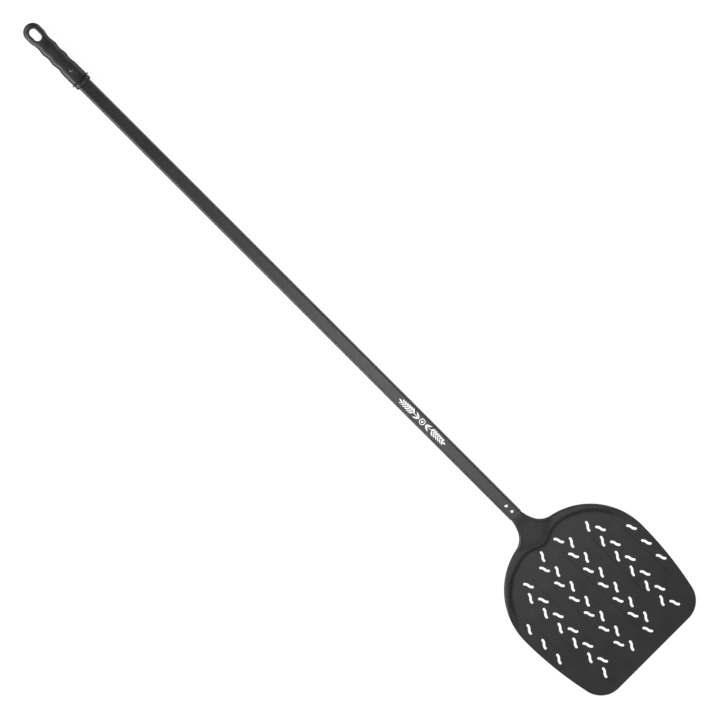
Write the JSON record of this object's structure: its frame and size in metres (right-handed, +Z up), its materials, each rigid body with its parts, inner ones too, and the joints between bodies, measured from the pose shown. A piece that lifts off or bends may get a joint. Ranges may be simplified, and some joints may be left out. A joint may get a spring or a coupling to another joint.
{
  "type": "perforated pizza peel",
  "caption": "Long-handled pizza peel: a perforated, ribbed sheet-metal blade riveted into a flat tube, with a moulded hanging grip.",
  "frame": {"origin": "halfway along the peel and across it, on the surface that the peel lies on, which is the plane of the blade's underside", "axes": "+X along the peel from the grip to the blade's front edge, +Y across the blade, +Z up out of the blade's top face"},
  "size_m": [1.934, 0.36, 0.029],
  "materials": {
    "blade_metal": "satin black hard-anodised sheet",
    "tube_metal": "satin black anodised extrusion with fine lengthwise lines",
    "rivet_metal": "bright bare aluminium",
    "grip_plastic": "finely textured black polypropylene",
    "screw_metal": "black zinc-plated steel with bright worn recess edges",
    "print_ink": "pale grey pad print, a plain ornament with no lettering"
  },
  "bodies": {
    "root": {"blade": "blade_metal", "handle_tube": "tube_metal", "rivet_front": "rivet_metal", "rivet_rear": "rivet_metal", "grip": "grip_plastic", "grip_screw": "screw_metal"}
  },
  "joints": []
}
